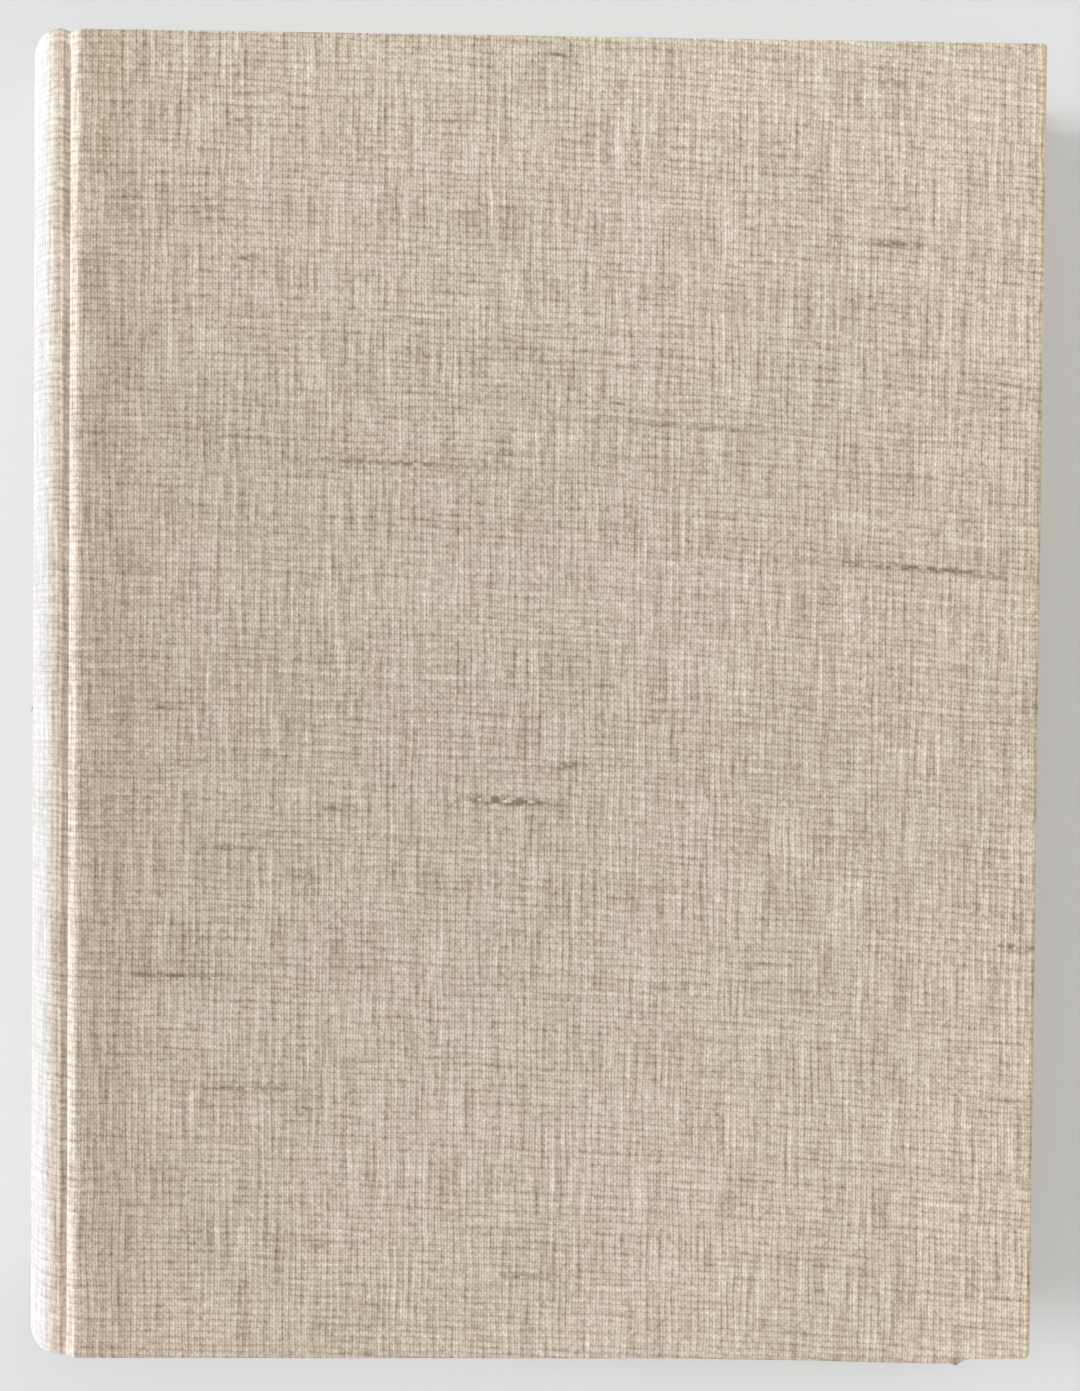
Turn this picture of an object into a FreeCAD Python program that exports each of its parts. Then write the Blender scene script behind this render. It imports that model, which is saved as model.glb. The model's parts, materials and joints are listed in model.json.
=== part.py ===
# A cloth-bound hardback book, lying closed on its back cover.
#
# The frame: X runs from the spine to the fore-edge, Y from the tail to the head, Z up.
# The origin is under the middle of the closed book, on the surface that it lies on.
#
# A hardback is a text block hung in a case. The text block is the sewn leaves with a rounded
# back and two small shoulders, a strip of mull and a strip of paper glued over that back, a
# band at each end, and a flyleaf on each side. The case is two boards and a card inlay, held
# together by one piece of linen that is turned in over their edges. The linen dips into a
# groove between each board and the spine, and a cover turns about the crest beside its groove.
import FreeCAD, Part

import math
import os

V = FreeCAD.Vector

# Leaves, in millimetres
leaf_height = 279.4
leaf_width = 211.3
leaves_thick = 21.8
fore_edge_hollow = 5.6
back_round = 7.75
shoulder_rise = 0.6
shoulder_run = 1.4
shoulder_bend = 0.9

# Sheets and strips
endpaper_thick = 0.15
endpaper_gap = 0.05
mull_thick = 0.2
mull_short = 14.0
lining_thick = 0.15
band_bead = 1.8
band_skirt = 11.0

# Case
board_thick = 3.0
cloth_thick = 0.45
square = 3.2
turn_in = 15.0
mitre_gap = 0.2
board_corner = 0.6
board_edge = 0.5
inlay_thick = 0.4
inlay_setback = 0.6
hollow_gap = 0.1

# Joint
joint_width = 2.4
crest_width = 0.7
crest_bend = 0.2
groove_slope = 0.95
groove_bend = 0.3
hinge_slit = 0.3
hinge_rise = 0.7
shoulder_inset = 0.3

# Heights above the middle plane of the book
leaves_half = leaves_thick / 2
flyleaf_top = leaves_half + endpaper_thick
pastedown_low = flyleaf_top + endpaper_gap
pastedown_top = pastedown_low + endpaper_thick
board_top = pastedown_top + board_thick
cover_top = board_top + cloth_thick
back_chord = leaves_half + shoulder_rise

# Radii about the axis of the round
leaves_radius = (back_chord**2 + back_round**2) / (2 * back_round)
mull_radius = leaves_radius + mull_thick
lining_radius = mull_radius + lining_thick
tuck_radius = lining_radius + hollow_gap
inlay_radius = tuck_radius + cloth_thick
inlay_outer = inlay_radius + inlay_thick
spine_radius = inlay_outer + cloth_thick

# Lengths along the spine
leaves_end = leaf_height / 2
cover_end = leaves_end + square
board_end = cover_end - cloth_thick

# Places across the book, first from the hinge line, then moved so that X = 0 is its middle
tip_from_hinge = -shoulder_inset
axis_from_hinge = tip_from_hinge + leaves_radius - back_round
spine_from_hinge = axis_from_hinge - spine_radius
back_from_hinge = axis_from_hinge - leaves_radius
fore_edge_from_hinge = back_from_hinge + leaf_width + fore_edge_hollow
cover_edge_from_hinge = fore_edge_from_hinge + square
hinge_x = -(spine_from_hinge + cover_edge_from_hinge) / 2
tip_x = hinge_x + tip_from_hinge
axis_x = hinge_x + axis_from_hinge
fore_edge_x = hinge_x + fore_edge_from_hinge
cover_edge_x = hinge_x + cover_edge_from_hinge
board_far_x = cover_edge_x - cloth_thick
board_near_x = hinge_x + joint_width + cloth_thick
crest_top = math.sqrt(spine_radius**2 - (axis_x - hinge_x) ** 2)
hinge_top = crest_top + hinge_rise
middle = cover_top


def place(x, z):
    """A point of the cross-section, with z measured from the middle plane."""
    return V(x, 0, middle + z)


def turned(a, b, c):
    """How far the path turns at b, and the unit vectors towards a and towards c."""
    to_a, to_c = (a - b).normalize(), (c - b).normalize()
    return math.pi - to_a.getAngle(to_c), to_a, to_c


def rounded(points, bends):
    """Edges of a path through points, with each inner corner rounded to its bend."""
    edges = []
    start = points[0]
    for n in range(1, len(points) - 1):
        corner, bend = points[n], bends[n - 1]
        turn, to_start, to_next = turned(points[n - 1], corner, points[n + 1])
        if bend <= 0 or turn < 1e-6:
            edges.append(Part.makeLine(start, corner))
            start = corner
            continue
        reach = bend * math.tan(turn / 2)
        first, last = corner + to_start * reach, corner + to_next * reach
        inward = (to_start + to_next).normalize()
        nearest = corner + inward * (bend / math.cos(turn / 2) - bend)
        if start.distanceToPoint(first) > 1e-6:
            edges.append(Part.makeLine(start, first))
        edges.append(Part.Arc(first, nearest, last).toShape())
        start = last
    edges.append(Part.makeLine(start, points[-1]))
    return edges


def moved_aside(points, bends, shift):
    """The path that runs beside points, shift to its left as it is walked, seen from -Y."""
    sides = []
    for a, b in zip(points, points[1:]):
        along = (b - a).normalize()
        sides.append(V(-along.z, 0, along.x))
    out = [points[0] + sides[0] * shift]
    new_bends = []
    for n in range(1, len(points) - 1):
        both = sides[n - 1] + sides[n]
        out.append(points[n] + both * (2 * shift / both.Length**2))
        left_turn = (points[n] - points[n - 1]).cross(points[n + 1] - points[n]).y < 0
        new_bends.append(max(bends[n - 1] + (-shift if left_turn else shift), 0))
    out.append(points[-1] + sides[-1] * shift)
    return out, new_bends


def strip(points, bends, near, far, half_length):
    """A sheet between two paths beside points, near and far to the left of them, along Y."""
    one, one_bends = moved_aside(points, bends, near)
    two, two_bends = moved_aside(points, bends, far)
    edges = rounded(one, one_bends) + [Part.makeLine(one[-1], two[-1])]
    edges += rounded(two[::-1], two_bends[::-1]) + [Part.makeLine(two[0], one[0])]
    return swept(edges, half_length)


def swept(edges, half_length):
    """A closed outline in the cross-section, carried from -half_length to half_length in Y."""
    face = Part.Face(Part.Wire(Part.sortEdges(edges)[0]))
    solid = face.extrude(V(0, 2 * half_length, 0))
    solid.translate(V(0, -half_length, 0))
    return solid


def block(x0, x1, y0, y1, z0, z1):
    """A box between two corners, with z measured from the middle plane."""
    return Part.makeBox(x1 - x0, y1 - y0, z1 - z0, V(x0, y0, middle + z0))


def to_back(solid):
    """The same piece on the back cover: mirrored in the middle plane."""
    return solid.mirror(V(0, 0, middle), V(0, 0, 1))


def shell(inner, outer, y0, y1, end_x):
    """Part of a tube about the axis of the round, on the spine's side of end_x."""
    def cylinder(radius):
        return Part.makeCylinder(radius, y1 - y0, V(axis_x, y0, middle), V(0, 1, 0))

    tube = cylinder(outer).cut(cylinder(inner))
    reach = 2 * outer
    return tube.common(block(end_x - reach, end_x, y0, y1, -reach, reach))


def on_side(edge, x=None, y=None, z=None):
    """Whether every end of an edge has the given coordinates, z from the middle plane."""
    wanted = (x, y, None if z is None else middle + z)
    return all(
        value is None or abs(point - value) < 1e-4
        for vertex in edge.Vertexes
        for point, value in zip((vertex.X, vertex.Y, vertex.Z), wanted)
    )


def leaf_path():
    """Where the outermost leaf lies: down the shoulder, then flat to the fore-edge."""
    tip = place(tip_x, back_chord)
    base = place(tip_x + shoulder_run, leaves_half)
    return [tip, base, place(fore_edge_x, leaves_half)]


def make_leaves():
    """All the leaves: a rounded back, two shoulders and a hollow fore-edge."""
    top = rounded(leaf_path(), [shoulder_bend])
    bottom = [edge.mirror(V(0, 0, middle), V(0, 0, 1)) for edge in top]
    hollow = Part.Arc(
        place(fore_edge_x, leaves_half),
        place(fore_edge_x - fore_edge_hollow, 0),
        place(fore_edge_x, -leaves_half),
    )
    spine = Part.Arc(
        place(tip_x, -back_chord),
        place(tip_x - back_round, 0),
        place(tip_x, back_chord),
    )
    return swept(top + bottom + [hollow.toShape(), spine.toShape()], leaves_end)


def make_flyleaf():
    """The free half of an endpaper, lying on the first leaf and up the shoulder."""
    return strip(leaf_path(), [shoulder_bend], 0, endpaper_thick, leaves_end)


def make_pastedown():
    """The glued half of an endpaper: under the board, across the joint, to the hinge."""
    near = endpaper_thick + endpaper_gap
    sheet = strip(leaf_path(), [shoulder_bend], near, near + endpaper_thick, leaves_end)
    low_x = hinge_x + hinge_slit / 2
    kept = block(low_x, fore_edge_x, -leaves_end, leaves_end, 0, cover_top)
    return sheet.common(kept)


def slab(grow):
    """A board's outline, made larger by grow at its edges and on its outer face."""
    near, far = board_near_x - grow, board_far_x + grow
    end, top = board_end + grow, board_top + grow
    body = block(near, far, -end, end, pastedown_top, top)
    corners = [e for e in body.Edges if on_side(e, x=far, y=end) or on_side(e, x=far, y=-end)]
    body = body.makeFillet(board_corner + grow, corners)
    outer = [e for e in body.Edges if on_side(e, z=top)]
    return body.makeFillet(board_edge + grow, outer)


def make_board():
    """A cover board, with the turned-in linen pressed into its inner face."""
    inner_x = board_far_x - turn_in
    inner_end = board_end - turn_in
    far, end = board_far_x + square, board_end + square
    rebate = block(board_near_x - square, far, -end, end, 0, pastedown_top + cloth_thick)
    plateau = block(board_near_x - square, inner_x, -inner_end, inner_end, 0, cover_top)
    return slab(0).cut(rebate.cut(plateau))


def joint_path():
    """The outer surface of the linen from the hinge line down into the groove."""
    floor = pastedown_top + cloth_thick
    return [
        place(hinge_x + hinge_slit / 2, crest_top),
        place(hinge_x + crest_width, crest_top),
        place(hinge_x + crest_width + groove_slope, floor),
        place(board_near_x - cloth_thick / 2, floor),
    ]


def make_cover_cloth():
    """The linen of one cover: over the board, turned in, and down into the groove."""
    cover = slab(cloth_thick).cut(make_board())
    for side in (1, -1):
        seam = Part.makeBox(2 * turn_in, mitre_gap, cloth_thick)
        seam.translate(V(-2 * turn_in, -mitre_gap / 2, middle + pastedown_top))
        seam.rotate(V(0, 0, 0), V(0, 0, 1), 45 * side)
        seam.translate(V(board_far_x, side * board_end, 0))
        cover = cover.cut(seam)
    bends = [crest_bend + cloth_thick, groove_bend]
    groove = strip(joint_path(), bends, 0, -cloth_thick, cover_end)
    return cover.fuse(groove).removeSplitter()


def make_spine_cloth():
    """The linen of the spine, turned in round both ends of the inlay."""
    end_x = hinge_x - hinge_slit / 2
    cloth = shell(inlay_outer, spine_radius, -cover_end, cover_end, end_x)
    for side in (1, -1):
        y0, y1 = sorted((side * board_end, side * cover_end))
        cloth = cloth.fuse(shell(tuck_radius, spine_radius, y0, y1, end_x - inlay_setback))
        y0, y1 = sorted((side * (cover_end - turn_in), side * board_end))
        cloth = cloth.fuse(shell(tuck_radius, inlay_radius, y0, y1, end_x - inlay_setback))
    return cloth.removeSplitter()


def make_inlay():
    """The card strip that stiffens the spine of the case."""
    end_x = hinge_x - hinge_slit / 2 - inlay_setback
    return shell(inlay_radius, inlay_outer, -board_end, board_end, end_x)


def make_mull():
    """The open-weave cotton glued to the back of the leaves, short of both ends."""
    end = leaves_end - mull_short
    return shell(leaves_radius, mull_radius, -end, end, tip_x)


def make_lining():
    """The strip of brown paper over the mull."""
    return shell(mull_radius, lining_radius, -leaves_end, leaves_end, tip_x)


def make_band(side):
    """An end band: a bead on the leaves' edge, with its skirt glued to the back, in one turn."""
    bead = band_bead / 2
    edge, crown = side * leaves_end, side * (leaves_end + bead)

    def at(radius, y):
        return V(axis_x - radius, y, middle)

    low, high = side * (leaves_end - band_skirt), side * (leaves_end + band_bead)
    centre = mull_radius - bead
    inner = centre - bead
    dome = Part.Arc(at(mull_radius, crown), at(centre, high), at(inner, crown))
    outline = [
        Part.makeLine(at(leaves_radius, low), at(mull_radius, low)),
        Part.makeLine(at(mull_radius, low), at(mull_radius, crown)),
        dome.toShape(),
        Part.makeLine(at(inner, crown), at(inner, edge)),
        Part.makeLine(at(inner, edge), at(leaves_radius, edge)),
        Part.makeLine(at(leaves_radius, edge), at(leaves_radius, low)),
    ]
    face = Part.Face(Part.Wire(outline))
    half_turn = math.degrees(math.atan2(back_chord, axis_x - tip_x))
    axis, along = V(axis_x, 0, middle), V(0, 1, 0)
    face.rotate(axis, along, -half_turn)
    return face.revolve(axis, along, 2 * half_turn)


def build():
    """Every piece of the book, by name."""
    pieces = {
        "page_block": make_leaves(),
        "spine_mull": make_mull(),
        "spine_lining": make_lining(),
        "head_band": make_band(1),
        "tail_band": make_band(-1),
        "spine_inlay": make_inlay(),
        "spine_cloth": make_spine_cloth(),
    }
    for name, make in (
        ("flyleaf", make_flyleaf),
        ("pastedown", make_pastedown),
        ("board", make_board),
        ("cloth", make_cover_cloth),
    ):
        solid = make()
        pieces["front_" + name] = solid
        pieces["back_" + name] = to_back(solid)
    return pieces


os.makedirs("parts", exist_ok=True)
for name, solid in build().items():
    solid.exportStep("parts/" + name + ".step")
    box = solid.BoundBox
    print(f"{name:15s} valid {solid.isValid()} x {box.XMin:.2f} {box.XMax:.2f}", end=" ")
    print(f"y {box.YMin:.2f} {box.YMax:.2f} z {box.ZMin:.2f} {box.ZMax:.2f}")
print(f"hinge x {hinge_x:.3f}  front z {middle + hinge_top:.3f}  back z {middle - hinge_top:.3f}")
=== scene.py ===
# %% [markdown]
# A hardback book in natural linen, lying closed on its back cover.
# The imported model is the fixed frame: it says where every board, leaf and hinge is. This lesson
# dresses it. The linen, the endpapers, the leaves and the end bands are made again as finer
# surfaces. The leaves, the free endpapers and the end bands ride on the body that carries the real
# piece; the linen and the glued endpapers are baked where they lie.

# %% Load the frame
import json
import math

import bmesh
import bpy
import numpy as np
from mathutils import Matrix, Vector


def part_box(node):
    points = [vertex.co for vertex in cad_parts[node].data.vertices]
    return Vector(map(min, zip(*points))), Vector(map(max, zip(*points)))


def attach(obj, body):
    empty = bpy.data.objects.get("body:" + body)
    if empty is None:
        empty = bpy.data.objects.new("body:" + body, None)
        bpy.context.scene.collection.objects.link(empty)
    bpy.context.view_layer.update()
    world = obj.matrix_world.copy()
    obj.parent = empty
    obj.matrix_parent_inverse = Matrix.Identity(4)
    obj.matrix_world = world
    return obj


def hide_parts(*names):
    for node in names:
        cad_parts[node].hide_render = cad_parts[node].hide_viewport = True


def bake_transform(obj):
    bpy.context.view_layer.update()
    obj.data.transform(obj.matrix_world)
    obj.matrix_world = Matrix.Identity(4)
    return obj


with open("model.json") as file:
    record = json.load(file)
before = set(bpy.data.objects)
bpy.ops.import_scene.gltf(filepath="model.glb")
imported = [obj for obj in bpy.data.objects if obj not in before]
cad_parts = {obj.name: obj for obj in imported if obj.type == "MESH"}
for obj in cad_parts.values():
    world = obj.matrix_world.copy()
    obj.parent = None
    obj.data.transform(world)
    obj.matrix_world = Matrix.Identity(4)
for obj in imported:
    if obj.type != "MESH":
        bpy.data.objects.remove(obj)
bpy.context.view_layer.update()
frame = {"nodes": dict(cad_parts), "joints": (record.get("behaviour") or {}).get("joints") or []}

MM = 0.001

# %% [markdown]
# The sizes below are read off the frame, so a surface always meets the piece that it lies on.
# Lengths are in millimetres until the last moment, and heights are measured from the middle
# plane of the book, because its front and its back are mirror images in that plane.

# %% Sizes read off the frame
def low_high(node):
    """The lowest and highest corners of a node, in millimetres."""
    low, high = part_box(node)
    return np.array(low) / MM, np.array(high) / MM


cloth_low, cloth_high = low_high("front_cloth")
board_low, board_high = low_high("front_board")
spine_low, spine_high = low_high("spine_cloth")
leaves_low, leaves_high = low_high("page_block")
hinge = next(joint for joint in frame["joints"] if joint["name"] == "front_cover_hinge")
hinge_x = hinge["pos_m"][0] / MM

middle = cloth_high[2] / 2
cover_top = cloth_high[2] - middle
inner_face = cloth_low[2] - middle
cover_end = cloth_high[1]
cover_far = cloth_high[0]
cloth = cover_top - (board_high[2] - middle)
board_near = board_low[0] - cloth
spine_far = spine_low[0]
crest = spine_high[2] - middle
bulge_of_spine = hinge_x - spine_far
spine_radius = (crest**2 + bulge_of_spine**2) / (2 * bulge_of_spine)
spine_axis = spine_far + spine_radius
leaves_end = leaves_high[1]
leaf_tip = leaves_high[2] - middle
fore_edge = leaves_high[0]
leaves_back = leaves_low[0]
print(f"cover top {cover_top:.2f} inner face {inner_face:.2f} crest {crest:.2f} cloth {cloth:.2f}")
print(f"hinge {hinge_x:.2f} board from {board_near:.2f} to {cover_far:.2f}")
print(f"spine radius {spine_radius:.2f}")

# %% [markdown]
# Small helpers come first. A surface is a grid of points, and a piece is one or more grids whose
# shared borders are merged, so that it ends up closed. Nothing here walks over the vertices one
# by one: whole arrays go in through from_pydata and foreach_set.

# %% Grids into meshes
def grid_faces(rows, columns, first=0, flip=False):
    """Quads of a rows by columns grid whose vertices start at first, turned over if flip."""
    r, c = np.meshgrid(np.arange(rows - 1), np.arange(columns - 1), indexing="ij")
    a = first + r * columns + c
    quads = np.stack([a, a + 1, a + columns + 1, a + columns], -1).reshape(-1, 4)
    return quads[:, ::-1] if flip else quads


def make_piece(name, grids, merge=2e-6):
    """A mesh from grids of (points in mm, uv in mm, flip), with their shared borders merged.

    Each grid's points are (rows, columns, 3) and its uv is (rows, columns, 2).
    """
    points, uvs, faces, count = [], [], [], 0
    for xyz, uv, flip in grids:
        rows, columns = xyz.shape[:2]
        points.append(xyz.reshape(-1, 3))
        uvs.append(uv.reshape(-1, 2))
        faces.append(grid_faces(rows, columns, count, flip))
        count += rows * columns
    points, uvs, faces = np.concatenate(points), np.concatenate(uvs), np.concatenate(faces)
    mesh = bpy.data.meshes.new(name)
    mesh.from_pydata((points * MM).tolist(), [], faces.tolist())
    corners = np.zeros(len(mesh.loops), np.int32)
    mesh.loops.foreach_get("vertex_index", corners)
    layer = mesh.uv_layers.new(name="UVMap")
    layer.data.foreach_set("uv", (uvs[corners] * MM).astype(np.float32).ravel())
    bm = bmesh.new()
    bm.from_mesh(mesh)
    bmesh.ops.remove_doubles(bm, verts=bm.verts, dist=merge)
    bmesh.ops.dissolve_degenerate(bm, edges=bm.edges, dist=merge)
    bm.to_mesh(mesh)
    bm.free()
    mesh.shade_smooth()
    piece = bpy.data.objects.new(name, mesh)
    bpy.context.scene.collection.objects.link(piece)
    return piece

# %% [markdown]
# A sheet gets its thickness from a Solidify modifier, which is applied at once, so that a later
# step always works on the real mesh. A tube is a grid rolled up: its two ends are closed by fans,
# because an open end would show its inside, and its normals are then turned outwards together.

# %% Thickness, crisp edges and closed tubes
def thicken(piece, thickness):
    """Gives an open sheet its thickness, inwards from the side that its normals leave."""
    solid = piece.modifiers.new("thickness", "SOLIDIFY")
    solid.thickness = thickness * MM
    solid.offset = -1.0
    solid.use_even_offset = False
    deps = bpy.context.evaluated_depsgraph_get()
    made = bpy.data.meshes.new_from_object(piece.evaluated_get(deps), depsgraph=deps)
    piece.modifiers.clear()
    piece.data = made


def sharpen(piece, degrees):
    """Keeps edges sharper than the given angle crisp, and the rest smooth."""
    piece.data.set_sharp_from_angle(angle=math.radians(degrees))


def closed_tube(name, tube, uv, flips, merge=1e-7):
    """A rolled-up grid with a fan at each end, round the middle of the end ring."""
    grids = [(tube, uv, flips[0])]
    for k, flip in ((0, flips[1]), (-1, flips[2])):
        hub = np.broadcast_to(tube[k, :-1].mean(0), tube[k].shape)
        grids.append((np.stack([hub, tube[k]]), np.stack([uv[k], uv[k]]), flip))
    piece = make_piece(name, grids, merge=1e-7)
    bm = bmesh.new()
    bm.from_mesh(piece.data)
    bmesh.ops.remove_doubles(bm, verts=bm.verts, dist=merge)
    bmesh.ops.recalc_face_normals(bm, faces=bm.faces)
    bm.to_mesh(piece.data)
    bm.free()
    return piece


# %% [markdown]
# Nothing on a worn book starts or stops abruptly. Three small functions shape every change: a
# smooth step, a straight ramp, and a ripple that looks random but is the same on each run.

# %% Steps, ramps and ripples
def smooth_step(x):
    """0 below 0, 1 above 1, and 3x^2 - 2x^3 between."""
    x = np.clip(x, 0, 1)
    return x * x * (3 - 2 * x)


def straight_ramp(values, start, end):
    """0 at start and before, 1 at end and after, straight between."""
    return np.clip((values - start) / (end - start), 0, 1)


def ripple(seed, *coordinates):
    """A smooth random-looking value from -1 to 1: the mean of five sines of each place."""
    rng = np.random.default_rng(seed)
    total = 0
    for _ in range(5):
        phase = rng.uniform(0, 2 * math.pi)
        for place in coordinates:
            phase = phase + place * rng.uniform(0.5, 2.5) * rng.choice((-1, 1))
        total = total + np.sin(phase)
    return total / 5


# %% [markdown]
# The cross-section of the linen is the book's signature line: round the spine, over the crest,
# down into the pressed groove, up the board's edge and flat across the cover. It is drawn as a
# path of straight runs with rounded corners, and then measured along its own length, because
# cloth is cut by length. That length is also the weave's coordinate, so threads never stretch.

# %% The linen's cross-section
def rounded_path(corners, radii, steps):
    """Points of a path through corners, each inner corner replaced by an arc of its radius."""
    corners = np.asarray(corners, float)
    out = [corners[:1]]
    for n, radius in enumerate(radii, 1):
        here = corners[n]
        back, on = corners[n - 1] - here, corners[n + 1] - here
        back, on = back / np.linalg.norm(back), on / np.linalg.norm(on)
        half = math.acos(np.clip(back @ on, -1, 1)) / 2
        middle_way = (back + on) / np.linalg.norm(back + on)
        centre = here + middle_way * radius / math.sin(half)
        start = here + back * radius / math.tan(half)
        end = here + on * radius / math.tan(half)
        share = np.linspace(0, 1, steps)[:, None]
        arm = (start - centre) * (1 - share) + (end - centre) * share
        out.append(centre + arm / np.linalg.norm(arm, axis=1)[:, None] * radius)
    out.append(corners[-1:])
    return np.concatenate(out)


def lengths_along(path):
    """Distance along a path at each of its points."""
    steps = np.linalg.norm(np.diff(path, axis=0), axis=1)
    return np.concatenate([[0], np.cumsum(steps)])


linen_near = board_near - 0.1
crest_flat, crest_run, crest_rise = 1.0, 0.6, 0.28
groove_floor = cover_top - 1.6
arc_points, arc_stop = 40, 0.05
spine_turn = math.atan2(crest, spine_axis - hinge_x)
turn = np.linspace(0, spine_turn - arc_stop, arc_points)


def arc_of(radius):
    """The spine's round at a radius, from its middle to just short of the crest."""
    return np.stack([spine_axis - radius * np.cos(turn), radius * np.sin(turn)], 1)


# %% The joint, corner by corner
spine_arc = arc_of(spine_radius)
corner_steps = 9
joint_corners = [
    spine_arc[-1],
    (hinge_x + crest_flat, crest + crest_rise),
    (hinge_x + crest_flat + crest_run, groove_floor),
    (linen_near, groove_floor),
    (linen_near + 0.02, cover_top - 0.95),
    (linen_near + 1.05, cover_top - 0.32),
    (linen_near + 2.3, cover_top),
    (cover_far, cover_top),
]
joint_radii = [0.8, 0.3, 0.22, 0.4, 1.5, 2.4]
joint = rounded_path(joint_corners, joint_radii, corner_steps)
section = np.concatenate([spine_arc[:-1], joint])
section_length = lengths_along(section)
linen_far = section_length[-1]
joint_length = section_length[len(spine_arc) - 1:]
arc_end_u = joint_length[0]
crest_end_u = joint_length[corner_steps // 2 + 1]
wall_end_u = joint_length[corner_steps + corner_steps // 2 + 1]
groove_u = joint_length[3 * corner_steps]
shoulder_u = joint_length[6 * corner_steps]
print(f"linen from the spine's middle to the fore-edge {linen_far:.1f} mm")
print(f"joint from {arc_end_u:.1f} to {groove_u:.1f} mm along it")

# %% [markdown]
# The wrap at a board's edge has to know how deep to go, so the section has an inner side too:
# the round of the spine without its fold of cloth, and the inner face of the board. Both sides
# are sampled finely and softened a little, as glue and pressure do, and read by length.

# %% Where the linen's outer and inner sides lie
fine_points, soften = 9000, 7
fine = np.linspace(0, linen_far, fine_points)
outer_x = np.interp(fine, section_length, section[:, 0])
outer_z = np.interp(fine, section_length, section[:, 1])
spine_fold = 1.3
inner_marks = np.concatenate([
    np.linspace(0, arc_end_u, arc_points),
    [crest_end_u, wall_end_u, groove_u, shoulder_u, linen_far],
])
inner_points = np.concatenate([arc_of(spine_radius - spine_fold), [
    (hinge_x + crest_flat + 0.1, inner_face + 0.12),
    (hinge_x + crest_flat + crest_run, inner_face + 0.02),
    (linen_near, inner_face),
    (linen_near + 3.0, inner_face),
    (cover_far, inner_face),
]])
inner_x = np.interp(fine, inner_marks, inner_points[:, 0])
inner_z = np.interp(fine, inner_marks, inner_points[:, 1])
window = np.hanning(2 * soften + 3)[1:-1]
window = window / window.sum()
inner_x, inner_z, outer_x, outer_z = [
    np.convolve(np.pad(line, soften, mode="reflect", reflect_type="odd"), window, "valid")
    for line in (inner_x, inner_z, outer_x, outer_z)
]


def across(u, values):
    """A quantity known along the section, read at lengths u."""
    return np.interp(u, fine, values)


print(f"inner side from x {inner_x[0]:.2f} to {inner_x[-1]:.2f} mm")

# %% [markdown]
# Under the linen of the spine, a strip of card keeps it round. It is a plain arc carried from
# tail to head, a little shorter than the boards, so that the linen can be drawn in at its ends,
# as the photograph shows it.

# %% The spine's card
card_cover, card_thick = 0.45, 0.4
card_reach = math.radians(68.1)
card_short = 2.4


def make_card():
    """The arc x = axis - r cos(t), z = r sin(t), carried from tail to head."""
    radius, end = spine_radius - card_cover, cover_end - card_short
    arc, y = np.meshgrid(
        np.linspace(-card_reach, card_reach, 61), np.linspace(-end, end, 41), indexing="ij"
    )
    points = np.stack([spine_axis - radius * np.cos(arc), y, middle + radius * np.sin(arc)], -1)
    piece = make_piece("spine_card", [(points, np.stack([arc * radius, y], -1), True)])
    thicken(piece, card_thick)
    sharpen(piece, 50)
    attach(piece, "text_block")
    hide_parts("spine_inlay")
    return piece


card = make_card()
print("card faces", len(card.data.polygons))

# %% [markdown]
# One half of the case is a sheet laid over the section and wrapped round three edges of the
# board. The flat part is a grid of length along the section by place along the spine. The wrap
# is a profile (round edge, side, round edge, turn-in) carried along the path that the board's
# border makes, so that both corners come out as the binder's mitres. The two grids share their
# border points, and merging those gives one sheet. Glue holds it flat, so it isn't simulated.

# %% Where the sheet is sampled
edge_round = 0.95
mitre_span = 22.0
flat_far = linen_far - edge_round
flat_end = cover_end - edge_round
mitre_end = flat_end - mitre_span


def runs(marks, counts):
    """Evenly spaced points from mark to mark, as many in each run as its count says."""
    parts = [np.linspace(a, b, n, endpoint=False) for a, b, n in zip(marks, marks[1:], counts)]
    return np.concatenate(parts + [marks[-1:]])


sheet_u = runs(
    [0, arc_end_u - 4, arc_end_u - 0.6, groove_u - 0.2, shoulder_u + 0.6,
     flat_far - mitre_span, flat_far],
    [20, 12, 44, 22, 74, 16],
)
sheet_y = runs([-flat_end, -mitre_end, mitre_end, flat_end], [16, 110, 16])
print("sheet sampled at", len(sheet_u), "by", len(sheet_y), "points")

# %% [markdown]
# The border runs along the head, round a corner, down the fore-edge, round and back along the
# tail. At each of its points, out is the direction that leaves the board, and the drop is how far
# the cloth goes down to the board's inner face.

# %% The board's border
corner = np.linspace(0, 90, 7)[1:-1]
past_fore = np.full(len(sheet_y) + 2 * len(corner), flat_far)
past_end = np.full(len(sheet_u) + len(corner), flat_end)
border_u = np.concatenate([sheet_u, past_fore, sheet_u[::-1]])
border_y = np.concatenate([past_end, sheet_y[::-1], -past_end])
upright = np.full(len(sheet_u), 90.0)
angle = np.radians(np.concatenate([upright, 90 - corner, 0 * sheet_y, -corner, -upright]))
out_u, out_y = np.cos(angle).round(9), np.sin(angle).round(9)
along_head, along_fore = np.abs(out_y) > 0.999, out_u > 0.999
drop = np.hypot(across(border_u, outer_x - inner_x), across(border_u, outer_z - inner_z))
print(f"border points {len(border_u)}, drop {drop.min():.2f} to {drop.max():.2f} mm")

# %% The wrap's profile
turn_in, short_turn_in = 15.0, 2.7
inner_round = 0.45


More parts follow.
